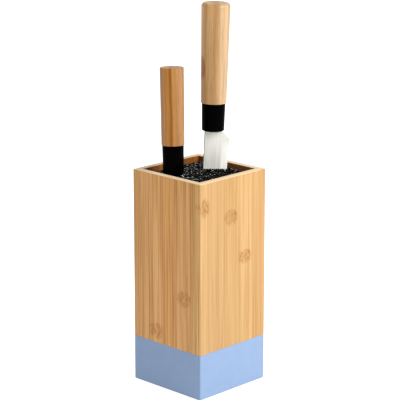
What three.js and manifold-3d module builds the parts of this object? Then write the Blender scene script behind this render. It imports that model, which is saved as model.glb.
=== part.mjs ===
// Knife block: a bamboo box on a painted wooden base, a lift-out insert of plastic bristles
// and two knives standing in it. Millimetres, +Z up; the origin is the middle of the
// footprint, on the worktop. Front is -Y, right is +X.
import * as THREE from 'three';
import { mergeVertices } from 'three/addons/utils/BufferGeometryUtils.js';
import Module from 'manifold-3d';

const wasm = await Module();
wasm.setup();

// Box
const blockSide = 95;
const blockHeight = 225;
const wallThickness = 7.5;
const baseHeight = 48; // top of the painted base above the worktop
const cornerRadius = 1; // upright corners
const bottomThickness = 6;
const rebateDepth = 3.5; // how far the bottom board is let into the base rails

// Glued joints between the boards
const tongueThickness = 2.5;
const tongueDepth = 2.5;
const tongueStop = 10; // bare length at the end of a stopped tongue
const tongueClearance = 0.3;
const glueLine = 0.1;

// Rubber feet, let into the bottom board
const footDiameter = 12;
const footProud = 0.8;
const footSink = 1;
const footInset = 15; // foot centre to the outer faces
const footClearance = 0.3;
const footChamfer = 0.5;

// Bristle insert
const insertClearance = 0.75; // tray to each wall of the box
const trayWall = 1.6;
const trayFloor = 2.4;
const trayHeight = 28;
const trayCorner = 3;
const restGap = 0.3; // between pieces that rest on or fit in each other
const bristleRecess = 5; // bristle ends below the rim
const bristleMargin = 1.2; // bristle ends to each wall of the box
const bristleRoot = 12; // solid root of the bundle, which a blade's tip stands on
const bladeClearance = 0.5; // room round a blade in the bristles

// Knives. Each stands in the bristles at a distance from two walls of the box, leans a little
// and has its edge turned from +X by turn. Its blade points straight down in its own frame and
// its handle is canted back from that line, towards the spine.
const slicer = {
  name: 'slicer',
  fromLeftWall: 36.6,
  fromBackWall: 19.3,
  leanRight: 1.75,
  leanBack: 1.7,
  turn: 48,
  handleCant: 1.2,
  shownBlade: 41, // ferrule above the bristle ends
  woodLength: 101.8,
  endDiameter: 29.4,
  neckDiameter: 26.1,
  endRound: 3.5,
  ferruleLength: 28.4,
  ferruleTop: 24.1,
  ferruleBottom: 22.9,
  spineOffset: 8.5, // spine to the handle's axis
  shoulderHeight: 16.5, // blade height where it leaves the ferrule
  heelHeight: 25.8, // blade height at its deepest
  heelLength: 10, // over which the heel flares out to that height
  frontHeight: 18.5, // blade height where the edge starts to curve up to the point
  bladeThickness: 2,
  bevelWidth: 7,
  pointLength: 62, // over which that curve runs
  tangLength: 62,
};
const utility = {
  name: 'utility',
  fromLeftWall: 27.7,
  fromFrontWall: 15.3,
  leanRight: -2.76,
  leanBack: 1.78,
  turn: 40,
  handleCant: 0,
  shownBlade: 1,
  woodLength: 78.5,
  endDiameter: 24.4,
  neckDiameter: 23.4,
  endRound: 1,
  ferruleLength: 30.2,
  ferruleTop: 21.9,
  ferruleBottom: 21.1,
  spineOffset: 7.4,
  bladeLength: 122,
  shoulderHeight: 16,
  heelHeight: 21.5,
  heelLength: 10,
  frontHeight: 18,
  bladeThickness: 1.6,
  bevelWidth: 6,
  pointLength: 46,
  tangLength: 52,
};
const ferruleWall = 1.8;
const ferruleFloor = 2.5;
const ferruleRound = 1.1;
const grindRun = 8; // over which the bevel deepens below the heel
const tangWidth = 11;
const tangShare = 0.8; // of the blade's thickness
const tangRoot = 2; // tang inside the blade
const tangEndGap = 1; // beyond the tang's end in the handle
const edgeThickness = 0.4;
const pointHeight = 0.8; // blade height left at the very point
const roundSteps = 32;
const cornerSteps = 6;
const ferruleSteps = 3;
const endSteps = 5;
const heelSteps = 5;
const pointSteps = 12;
const fanSteps = 6;
const overlap = 1; // a cutter or tongue beyond the face that it starts from

// Worked out from the sizes above
const wellSide = blockSide - 2 * wallThickness;
const floorTop = footProud + bottomThickness;
const bristleTop = blockHeight - bristleRecess;
const trayBottom = floorTop + restGap;
const traySide = wellSide - 2 * insertClearance;
const trayInside = traySide - 2 * trayWall;
const bundleBottom = trayBottom + trayFloor + restGap;
const rebateHeight = bottomThickness + glueLine;
slicer.bladeLength = slicer.shownBlade + bristleTop - bundleBottom - bristleRoot;

const bamboo = new THREE.MeshStandardMaterial({ color: 0xd2a06a, roughness: 0.5 });
const bluePaint = new THREE.MeshStandardMaterial({ color: 0x9db4da, roughness: 0.55 });
const plywood = new THREE.MeshStandardMaterial({ color: 0xc9a677, roughness: 0.7 });
const rubber = new THREE.MeshStandardMaterial({ color: 0x1c1c1c, roughness: 0.9 });
const blackPlastic = new THREE.MeshStandardMaterial({ color: 0x111111, roughness: 0.4 });
const bristlePlastic = new THREE.MeshStandardMaterial({ color: 0x16181a, roughness: 0.45 });
const warmWood = new THREE.MeshStandardMaterial({ color: 0xb9824c, roughness: 0.5 });
const paleWood = new THREE.MeshStandardMaterial({ color: 0xc89d6b, roughness: 0.5 });
const bladeSteel = new THREE.MeshStandardMaterial({
  color: 0xd8d8d4,
  roughness: 0.25,
  metalness: 1,
});

// A closed geometry as a manifold solid.
function solid(geometry) {
  const bare = geometry.clone();
  bare.deleteAttribute('normal');
  bare.deleteAttribute('uv');
  const merged = mergeVertices(bare, 1e-4);
  const mesh = new wasm.Mesh({
    numProp: 3,
    vertProperties: new Float32Array(merged.attributes.position.array),
    triVerts: new Uint32Array(merged.index.array),
  });
  return new wasm.Manifold(mesh);
}

// A named mesh of a manifold solid, in a three.js material.
function piece(name, body, material) {
  const made = body.getMesh();
  const geometry = new THREE.BufferGeometry();
  geometry.setAttribute('position', new THREE.BufferAttribute(made.vertProperties, 3));
  geometry.setIndex(new THREE.BufferAttribute(made.triVerts, 1));
  geometry.computeVertexNormals();
  const mesh = new THREE.Mesh(geometry, material);
  mesh.name = name;
  return mesh;
}

// A box solid from its lowest to its highest corner.
function block(low, high) {
  const size = high.map((value, axis) => value - low[axis]);
  const geometry = new THREE.BoxGeometry(...size);
  geometry.translate(...low.map((value, axis) => value + size[axis] / 2));
  return solid(geometry);
}

function roundedSquare(side, radius) {
  const inner = side / 2 - radius;
  const shape = new THREE.Shape();
  shape.absarc(inner, inner, radius, 0, Math.PI / 2);
  shape.absarc(-inner, inner, radius, Math.PI / 2, Math.PI);
  shape.absarc(-inner, -inner, radius, Math.PI, 1.5 * Math.PI);
  shape.absarc(inner, -inner, radius, 1.5 * Math.PI, 2 * Math.PI);
  return shape;
}

function prism(shape, height, steps = 1) {
  return new THREE.ExtrudeGeometry(shape, {
    depth: height,
    steps,
    curveSegments: cornerSteps,
    bevelEnabled: false,
  });
}

// Boards are drawn upright: width along X, outer face at Y = 0, inner face at Y = wallThickness,
// bottom edge at Z = 0. Tongues and grooves lie in the middle of the thickness.
const tongueLow = (wallThickness - tongueThickness) / 2;
const tongueHigh = tongueLow + tongueThickness;
const edgeTongueHalf = wellSide / 2 - tongueStop;

// Tongue along a panel's bottom edge, which stands in the base rail's groove.
function bottomTongue() {
  return block([-edgeTongueHalf, tongueLow, -tongueDepth], [edgeTongueHalf, tongueHigh, overlap]);
}

function topGroove(height) {
  const half = edgeTongueHalf + tongueClearance;
  const depth = tongueDepth + tongueClearance;
  return block(
    [-half, tongueLow - tongueClearance, height - depth],
    [half, tongueHigh + tongueClearance, height + overlap],
  );
}

// Front and back boards fit between the side boards, with a tongue up each end.
function innerBoard(height, tongueFrom, tongueTo) {
  const half = wellSide / 2 - glueLine;
  const reach = wellSide / 2 + tongueDepth;
  return block([-half, 0, 0], [half, wallThickness, height])
    .add(block([-reach, tongueLow, tongueFrom], [reach, tongueHigh, tongueTo]));
}

// Side boards run the full width, round the upright corners and take those tongues.
function outerBoard(height, grooveFrom, grooveTo) {
  const half = blockSide / 2;
  const section = new THREE.Shape();
  section.moveTo(-half, wallThickness);
  section.lineTo(-half, cornerRadius);
  section.absarc(-half + cornerRadius, cornerRadius, cornerRadius, Math.PI, 1.5 * Math.PI);
  section.absarc(half - cornerRadius, cornerRadius, cornerRadius, 1.5 * Math.PI, 2 * Math.PI);
  section.lineTo(half, wallThickness);
  let board = solid(prism(section, height));
  const depth = tongueDepth + tongueClearance;
  const near = half - tongueHigh - tongueClearance;
  const far = half - tongueLow + tongueClearance;
  for (const [low, high] of [[-far, -near], [near, far]]) {
    const groove = block(
      [low, wallThickness - depth, grooveFrom],
      [high, wallThickness + overlap, grooveTo],
    );
    board = board.subtract(groove);
  }
  return board;
}

// Rebate round the foot of the base for the bottom board.
function rebate() {
  const half = blockSide / 2 - wallThickness + rebateDepth;
  return block(
    [-half, wallThickness - rebateDepth, -overlap],
    [half, wallThickness + overlap, rebateHeight],
  );
}

function makeBox() {
  const box = new THREE.Group();
  const panelHeight = blockHeight - baseHeight;
  const railHeight = baseHeight - glueLine - footProud;
  const panelTongueTop = panelHeight - tongueStop;
  const innerPanel = innerBoard(panelHeight, 0, panelTongueTop).add(bottomTongue());
  const outerPanel = outerBoard(panelHeight, -overlap, panelTongueTop + tongueClearance)
    .add(bottomTongue());
  const innerRail = innerBoard(railHeight, rebateHeight + tongueClearance, railHeight)
    .subtract(topGroove(railHeight))
    .subtract(rebate());
  const outerRail = outerBoard(railHeight, rebateHeight, railHeight + overlap)
    .subtract(topGroove(railHeight))
    .subtract(rebate());
  const sides = [
    { name: 'front', quarter: 0, panel: innerPanel, rail: innerRail },
    { name: 'right', quarter: 1, panel: outerPanel, rail: outerRail },
    { name: 'back', quarter: 2, panel: innerPanel, rail: innerRail },
    { name: 'left', quarter: 3, panel: outerPanel, rail: outerRail },
  ];
  for (const side of sides) {
    const wall = new THREE.Group();
    wall.rotation.z = side.quarter * Math.PI / 2;
    const panel = piece(`panel_${side.name}`, side.panel, bamboo);
    panel.position.set(0, -blockSide / 2, baseHeight);
    const rail = piece(`base_rail_${side.name}`, side.rail, bluePaint);
    rail.position.set(0, -blockSide / 2, footProud);
    wall.add(panel, rail);
    box.add(wall);
  }
  box.add(makeBottom(), ...makeFeet());
  return box;
}

function footPlaces() {
  const reach = blockSide / 2 - footInset;
  return [
    ['front_left', -reach, -reach],
    ['front_right', reach, -reach],
    ['back_right', reach, reach],
    ['back_left', -reach, reach],
  ];
}

function makeBottom() {
  const half = blockSide / 2 - wallThickness + rebateDepth - glueLine;
  let board = block([-half, -half, 0], [half, half, bottomThickness]);
  const radius = footDiameter / 2 + footClearance;
  for (const [, x, y] of footPlaces()) {
    const recess = new THREE.CylinderGeometry(radius, radius, 2 * footSink, roundSteps);
    recess.rotateX(Math.PI / 2);
    recess.translate(x, y, 0);
    board = board.subtract(solid(recess));
  }
  const bottom = piece('bottom_board', board, plywood);
  bottom.position.z = footProud;
  return bottom;
}

function makeFeet() {
  const radius = footDiameter / 2;
  const height = footProud + footSink - glueLine;
  const profile = [
    new THREE.Vector2(0, 0),
    new THREE.Vector2(radius - footChamfer, 0),
    new THREE.Vector2(radius, footChamfer),
    new THREE.Vector2(radius, height),
    new THREE.Vector2(0, height),
  ];
  const geometry = new THREE.LatheGeometry(profile, roundSteps);
  geometry.rotateX(Math.PI / 2);
  return footPlaces().map(([place, x, y]) => {
    const foot = piece(`foot_${place}`, solid(geometry), rubber);
    foot.position.set(x, y, 0);
    return foot;
  });
}

// Insert: a shallow tray and one bundle of bristles, which fans out towards its open end.
function makeTray() {
  const inside = prism(roundedSquare(trayInside, trayCorner - trayWall), trayHeight);
  inside.translate(0, 0, trayFloor);
  const cup = solid(prism(roundedSquare(traySide, trayCorner), trayHeight))
    .subtract(solid(inside));
  const tray = piece('insert_tray', cup, blackPlastic);
  tray.position.z = trayBottom;
  return tray;
}

function makeBristles(knives) {
  const rootSide = trayInside - 2 * restGap;
  const spread = (wellSide - 2 * bristleMargin) / rootSide - 1;
  const height = bristleTop - bundleBottom;
  const fan = prism(roundedSquare(rootSide, trayCorner - trayWall), height, fanSteps);
  const position = fan.attributes.position;
  for (let i = 0; i < position.count; i += 1) {
    const share = position.getZ(i) / height;
    const grow = 1 + spread * share * share;
    position.setXY(i, position.getX(i) * grow, position.getY(i) * grow);
  }
  fan.translate(0, 0, bundleBottom);
  let bundle = solid(fan);
  for (const knife of knives) {
    bundle = bundle.subtract(bladeSlot(knife));
  }
  return piece('bristle_bundle', bundle, bristlePlastic);
}

// A knife's frame: origin at the middle of its ferrule's lower end, blade towards -Z, edge
// towards +X, blade thickness along Y.
function knifeFrame(knife) {
  const reach = wellSide / 2;
  const x = -reach + knife.fromLeftWall;
  const y = 'fromBackWall' in knife ? reach - knife.fromBackWall : -reach + knife.fromFrontWall;
  const frame = new THREE.Group();
  frame.rotation.set(
    THREE.MathUtils.degToRad(-knife.leanBack),
    THREE.MathUtils.degToRad(knife.leanRight),
    THREE.MathUtils.degToRad(knife.turn),
  );
  const up = new THREE.Vector3(0, 0, 1).applyEuler(frame.rotation);
  frame.position.set(x, y, bristleTop).addScaledVector(up, knife.shownBlade / up.z);
  frame.updateMatrix();
  return frame;
}

// The straight path of a blade through the bristles, from its point to above their ends.
function bladeSlot(knife) {
  const half = knife.bladeThickness / 2 + bladeClearance;
  const slot = new THREE.BoxGeometry(
    knife.heelHeight + 2 * bladeClearance,
    2 * half,
    knife.bladeLength + knife.ferruleLength,
  );
  slot.translate(
    knife.heelHeight / 2 - knife.spineOffset,
    0,
    (knife.ferruleLength - knife.bladeLength) / 2 - bladeClearance,
  );
  slot.applyMatrix4(knifeFrame(knife).matrix);
  return solid(slot);
}

// Height of the blade, from spine to edge, at a distance below the ferrule.
function bladeHeightAt(knife, distance) {
  const fromPoint = knife.bladeLength - distance;
  if (distance < knife.heelLength) {
    const flare = Math.sin(Math.PI / 2 * distance / knife.heelLength);
    return THREE.MathUtils.lerp(knife.shoulderHeight, knife.heelHeight, flare);
  }
  if (fromPoint < knife.pointLength) {
    const rest = 1 - fromPoint / knife.pointLength;
    const curve = Math.sqrt(1 - rest * rest);
    return THREE.MathUtils.lerp(pointHeight, knife.frontHeight, curve);
  }
  const straight = knife.bladeLength - knife.pointLength - knife.heelLength;
  const along = (distance - knife.heelLength) / straight;
  return THREE.MathUtils.lerp(knife.heelHeight, knife.frontHeight, along);
}

// Distances of the blade's cross-sections below the ferrule, closer together where it curves.
function bladeStations(knife) {
  const stations = [];
  for (let i = 0; i <= heelSteps; i += 1) {
    stations.push(knife.heelLength * i / heelSteps);
  }
  stations.push(knife.heelLength + grindRun);
  for (let i = 0; i <= pointSteps; i += 1) {
    const angle = Math.PI / 2 * i / pointSteps;
    stations.push(knife.bladeLength - knife.pointLength * (1 - Math.sin(angle)));
  }
  return stations;
}

// Blade: flat from the spine to the bevel, then thinning to the edge, but of full thickness
// as far as the heel. The box's rows are spine, bevel line and edge; its layers are the stations.
function bladeGeometry(knife) {
  const stations = bladeStations(knife);
  const layers = stations.length - 1;
  const geometry = new THREE.BoxGeometry(2, 1, layers, 2, 1, layers);
  const position = geometry.attributes.position;
  for (let i = 0; i < position.count; i += 1) {
    const row = Math.round(position.getX(i));
    const distance = stations[Math.round(layers / 2 - position.getZ(i))];
    const height = bladeHeightAt(knife, distance);
    const bevel = Math.min(knife.bevelWidth, height / 2);
    const across = { '-1': 0, 0: height - bevel, 1: height }[row];
    const ground = row === 1 && distance > knife.heelLength;
    const thickness = ground ? edgeThickness : knife.bladeThickness;
    position.setXYZ(
      i,
      across - knife.spineOffset,
      Math.sign(position.getY(i)) * thickness / 2,
      -distance - restGap,
    );
  }
  return geometry;
}

// Tang: a flat strip from inside the blade, through the ferrule, into the handle. It is thinner
// than the blade, and grows by a clearance where it cuts its own slot.
function tangStrip(knife, clearance, reachDown, reachUp) {
  const half = tangWidth / 2 + clearance;
  const thick = tangShare * knife.bladeThickness / 2 + clearance;
  return block([-half, -thick, -reachDown], [half, thick, reachUp]);
}

function ferruleProfile(knife) {
  const lowRadius = knife.ferruleBottom / 2;
  const highRadius = knife.ferruleTop / 2;
  const profile = [new THREE.Vector2(0, 0)];
  for (let i = 0; i <= ferruleSteps; i += 1) {
    const angle = Math.PI / 2 * i / ferruleSteps;
    profile.push(new THREE.Vector2(
      lowRadius - ferruleRound * (1 - Math.sin(angle)),
      ferruleRound * (1 - Math.cos(angle)),
    ));
  }
  profile.push(new THREE.Vector2(highRadius, knife.ferruleLength));
  profile.push(new THREE.Vector2(lowRadius - ferruleWall, knife.ferruleLength));
  profile.push(new THREE.Vector2(lowRadius - ferruleWall, ferruleFloor));
  profile.push(new THREE.Vector2(0, ferruleFloor));
  return profile;
}

// Wooden handle: a spigot inside the ferrule, a shoulder on its upper edge, then a grip that
// swells towards its rounded end.
function handleProfile(knife) {
  const spigot = knife.ferruleBottom / 2 - ferruleWall - restGap;
  const shoulder = knife.ferruleLength + restGap;
  const end = knife.ferruleLength + knife.woodLength;
  const endRadius = knife.endDiameter / 2;
  const profile = [
    new THREE.Vector2(0, ferruleFloor + restGap),
    new THREE.Vector2(spigot, ferruleFloor + restGap),
    new THREE.Vector2(spigot, shoulder),
    new THREE.Vector2(knife.neckDiameter / 2, shoulder),
  ];
  for (let i = 0; i <= endSteps; i += 1) {
    const angle = Math.PI / 2 * i / endSteps;
    profile.push(new THREE.Vector2(
      endRadius - knife.endRound * (1 - Math.cos(angle)),
      end - knife.endRound * (1 - Math.sin(angle)),
    ));
  }
  profile.push(new THREE.Vector2(0, end));
  return profile;
}

function turned(profile) {
  return new THREE.LatheGeometry(profile, roundSteps).rotateX(Math.PI / 2);
}

function makeKnife(knife, wood) {
  const frame = knifeFrame(knife);
  const tangTop = ferruleFloor + knife.tangLength;
  const tang = tangStrip(knife, 0, tangRoot, tangTop).rotate([0, -knife.handleCant, 0]);
  const blade = solid(bladeGeometry(knife)).add(tang);
  const slot = tangStrip(knife, restGap, overlap, tangTop + tangEndGap);
  const ferrule = solid(turned(ferruleProfile(knife))).subtract(slot);
  const handle = solid(turned(handleProfile(knife))).subtract(slot);
  const grip = new THREE.Group();
  grip.rotation.y = THREE.MathUtils.degToRad(-knife.handleCant);
  grip.add(
    piece(`${knife.name}_handle`, handle, wood),
    piece(`${knife.name}_ferrule`, ferrule, blackPlastic),
  );
  frame.add(piece(`${knife.name}_blade`, blade, bladeSteel), grip);
  return frame;
}

const group = new THREE.Group();
group.add(
  makeBox(),
  makeTray(),
  makeBristles([slicer, utility]),
  makeKnife(slicer, paleWood),
  makeKnife(utility, warmWood),
);

export default group;
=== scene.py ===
import math
import random

import bpy
import numpy as np
from mathutils import Matrix, Vector


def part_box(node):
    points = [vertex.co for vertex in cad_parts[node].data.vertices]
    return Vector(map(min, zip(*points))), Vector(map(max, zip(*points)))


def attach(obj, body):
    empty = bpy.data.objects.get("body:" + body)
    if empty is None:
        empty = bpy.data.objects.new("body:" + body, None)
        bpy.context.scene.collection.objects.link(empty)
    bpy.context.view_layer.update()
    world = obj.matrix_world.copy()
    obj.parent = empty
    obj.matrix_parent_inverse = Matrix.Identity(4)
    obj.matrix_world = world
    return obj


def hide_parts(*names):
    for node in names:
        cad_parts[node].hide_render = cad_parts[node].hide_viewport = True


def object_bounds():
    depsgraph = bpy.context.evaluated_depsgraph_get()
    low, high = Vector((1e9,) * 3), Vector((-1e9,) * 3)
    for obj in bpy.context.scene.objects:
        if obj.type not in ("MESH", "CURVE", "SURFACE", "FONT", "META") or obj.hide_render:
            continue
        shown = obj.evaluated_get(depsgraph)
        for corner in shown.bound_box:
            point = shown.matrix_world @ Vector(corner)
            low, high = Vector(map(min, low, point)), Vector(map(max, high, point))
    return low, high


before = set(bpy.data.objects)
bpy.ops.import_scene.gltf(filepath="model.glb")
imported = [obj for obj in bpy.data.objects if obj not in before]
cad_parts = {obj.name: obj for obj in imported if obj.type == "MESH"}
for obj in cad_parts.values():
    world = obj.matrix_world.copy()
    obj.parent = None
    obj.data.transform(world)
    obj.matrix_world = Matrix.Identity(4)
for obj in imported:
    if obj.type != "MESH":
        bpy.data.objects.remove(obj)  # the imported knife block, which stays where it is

cadLow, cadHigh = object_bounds()
mm = 0.001
halfSide = 47.5  # mm, of the block
fullTurn = 2 * math.pi
random.seed(11)


def leaveEdit():
    bpy.ops.object.mode_set(mode="OBJECT")


def nothingSelected():
    if bpy.context.mode != "OBJECT":
        leaveEdit()
    bpy.ops.object.select_all(action="DESELECT")


def pick(piece):
    nothingSelected()
    piece.select_set(True)
    bpy.context.view_layer.objects.active = piece


def editAll(piece):
    pick(piece)
    bpy.ops.object.mode_set(mode="EDIT")
    bpy.ops.mesh.select_all(action="SELECT")


def selectEdges(piece, wanted):  # wanted is asked about the two ends of each edge
    editAll(piece)
    bpy.ops.mesh.select_mode(type="EDGE")
    bpy.ops.mesh.select_all(action="DESELECT")
    leaveEdit()
    mesh = piece.data
    for edge in mesh.edges:
        a, b = (mesh.vertices[i].co for i in edge.vertices)
        edge.select = wanted(a, b)
    bpy.ops.object.mode_set(mode="EDIT")


def selectFaces(piece, wanted):  # wanted is asked about each face
    editAll(piece)
    bpy.ops.mesh.select_mode(type="FACE")
    bpy.ops.mesh.select_all(action="DESELECT")
    leaveEdit()
    for face in piece.data.polygons:
        face.select = wanted(face)
    bpy.ops.object.mode_set(mode="EDIT")


def mergeDoubles(piece):
    editAll(piece)
    bpy.ops.mesh.remove_doubles(threshold=0.001 * mm)
    leaveEdit()


def outwards(piece):
    mergeDoubles(piece)
    editAll(piece)
    bpy.ops.mesh.normals_make_consistent(inside=False)
    leaveEdit()


def smoothed(piece, angle=30):
    pick(piece)
    bpy.ops.object.shade_smooth_by_angle(angle=math.radians(angle))


def nodeCopy(node, name):  # a CAD node's shape as a new piece, with its flat faces made whole
    piece = bpy.data.objects.new(name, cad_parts[node].data.copy())
    bpy.context.scene.collection.objects.link(piece)
    piece.data.materials.clear()
    editAll(piece)
    bpy.ops.mesh.customdata_custom_splitnormals_clear()
    bpy.ops.mesh.remove_doubles(threshold=0.001 * mm)
    bpy.ops.mesh.dissolve_limited(angle_limit=math.radians(0.5))
    leaveEdit()
    return piece


def pathOfPoints(name, points):  # one vertex drawn on from point to point
    nothingSelected()
    bpy.ops.mesh.primitive_plane_add(size=mm, location=(0, 0, 0))
    piece = bpy.context.object
    piece.name = piece.data.name = name
    bpy.ops.object.mode_set(mode="EDIT")
    bpy.ops.mesh.select_mode(type="VERT")
    bpy.ops.mesh.merge(type="CENTER")
    bpy.ops.transform.translate(value=points[0])
    for start, end in zip(points, points[1:]):
        step = [b - a for a, b in zip(start, end)]
        bpy.ops.mesh.extrude_vertices_move(TRANSFORM_OT_translate={"value": step})
    return piece


def turnedPiece(name, profile, steps):  # profile is (radius, height) from the lower middle up
    piece = pathOfPoints(name, [(radius, 0, height) for radius, height in profile])
    bpy.ops.mesh.select_all(action="SELECT")
    bpy.ops.mesh.spin(steps=steps, angle=fullTurn, center=(0, 0, 0), axis=(0, 0, 1))
    leaveEdit()
    outwards(piece)
    return piece


def boxPiece(name, low, high):
    nothingSelected()
    middle = [(a + b) / 2 for a, b in zip(low, high)]
    size = [b - a for a, b in zip(low, high)]
    bpy.ops.mesh.primitive_cube_add(size=1, location=middle, scale=size)
    piece = bpy.context.object
    piece.name = piece.data.name = name
    bpy.ops.object.transform_apply(location=True, rotation=True, scale=True)
    return piece


def joinShape(piece, tool, operation):  # cuts away or adds the tool's shape, and drops the tool
    pick(piece)
    modifier = piece.modifiers.new("shape", "BOOLEAN")
    modifier.object = tool
    modifier.operation = operation
    modifier.solver = "EXACT"
    bpy.ops.object.modifier_apply(modifier=modifier.name)
    bpy.data.objects.remove(tool)


def placed(piece, matrix):
    pick(piece)
    piece.matrix_world = matrix
    bpy.ops.object.transform_apply(location=True, rotation=True, scale=True)


def finished(piece, body, slot, material, *nodes):
    pick(piece)
    piece.data.materials.clear()
    piece.data.materials.append(material)
    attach(piece, body)
    if nodes:
        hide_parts(*nodes)


def linear(hexColour):
    parts = [int(hexColour[i:i + 2], 16) / 255 for i in (1, 3, 5)]
    return [c / 12.92 if c <= 0.04045 else ((c + 0.055) / 1.055) ** 2.4 for c in parts] + [1]


def newMaterial(name, **values):  # values are the shader's own sockets, by name
    material = bpy.data.materials.new(name)
    material.use_nodes = True
    tree = material.node_tree
    shader = next(n for n in tree.nodes if n.type == "BSDF_PRINCIPLED")
    for socket, value in values.items():
        shader.inputs[socket.replace("_", " ")].default_value = value
    place = tree.nodes.new("ShaderNodeTexCoord").outputs["Object"]
    return material, tree, shader, place


def addNode(tree, kind, inputs, out=0, stops=None, into=None, **settings):
    node = tree.nodes.new(kind)
    for name, value in settings.items():
        setattr(node, name, value)
    for key, value in inputs.items():
        if isinstance(value, bpy.types.NodeSocket):
            tree.links.new(value, node.inputs[key])
        else:
            node.inputs[key].default_value = value
    if stops:
        ramp = node.color_ramp
        ramp.elements.remove(ramp.elements[1])
        ramp.elements[0].position = stops[0][0]
        ramp.elements[0].color = linear(stops[0][1])
        for place, colour in stops[1:]:
            ramp.elements.new(place).color = linear(colour)
    if into:
        tree.links.new(node.outputs[out], into)
    return node.outputs[out]


def stretchedNoise(tree, vector, size, detail, shift=(0, 0, 0), **more):  # size in mm each way
    stretch = [1 / (length * mm) for length in size]
    grain = addNode(tree, "ShaderNodeMapping",
                    {"Vector": vector, "Location": shift, "Scale": stretch})
    return addNode(tree, "ShaderNodeTexNoise",
                   {"Vector": grain, "Scale": 1.0, "Detail": detail, **more})


def knifeSpace(tree, place, matrix):  # places counted along the knife, as it was made
    return addNode(tree, "ShaderNodeMapping",
                   {"Vector": place, "Location": matrix.translation,
                    "Rotation": matrix.to_euler("XYZ")}, vector_type="TEXTURE")


# Bamboo boards glued up from strips about 20 mm wide, sanded and oiled: long fine fibres,
# a slightly different colour on each strip, thin glue lines, and patches of crossed flecks
# where the cane had its knuckles. Satin, so the eye gets a soft light and no mirror.
bamboo = {
    "fibreWidth": 1.35,  # mm, drawn wider than life so that it shows
    "bandWidth": 4.2,  # mm, the broader light and dark bands of fibres
    "streakLength": 140,  # mm
    "fleckWidth": 1.7,  # mm, across the flecks in a knuckle
    "fleckLength": 5,  # mm
    "fleckTurn": 5,  # mm from one slant to the other
    "fleckSlant": 1.3,  # rise for each mm across
    "swayLength": 9,  # mm
    "sway": 0.4,  # mm that a fibre wanders
    "knuckleSway": 3,  # and in a knuckle
    "bandShare": 0.42,  # of the bands in the pattern, the rest being fibres
    "glueHalf": 0.4,  # mm, half a glue line
    "roughness": 0.46,
    "specular": 0.3,
    "darkFibre": "#CEB75E",
    "lightFibre": "#FFFFFF",
    "knuckle": "#F8EFE0",
    "fleck": "#D3BF9A",
    "glueLine": "#C49A78",
}


def insideEllipse(tree, flat, sideways, high, halfWidth, halfHeight):  # 1 in its middle, 0 outside
    middle = (sideways * mm, high * mm, 0)
    reach = (1 / (halfWidth * mm), 1 / (halfHeight * mm), 0)
    away = addNode(tree, "ShaderNodeVectorMath", {0: flat, 1: middle}, operation="SUBTRACT")
    away = addNode(tree, "ShaderNodeVectorMath", {0: away, 1: reach}, operation="MULTIPLY")
    away = addNode(tree, "ShaderNodeVectorMath", {0: away}, operation="LENGTH", out="Value")
    return addNode(tree, "ShaderNodeMapRange", {"Value": away, 1: 1.0, 2: 0.55},
                   interpolation_type="SMOOTHSTEP")


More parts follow.
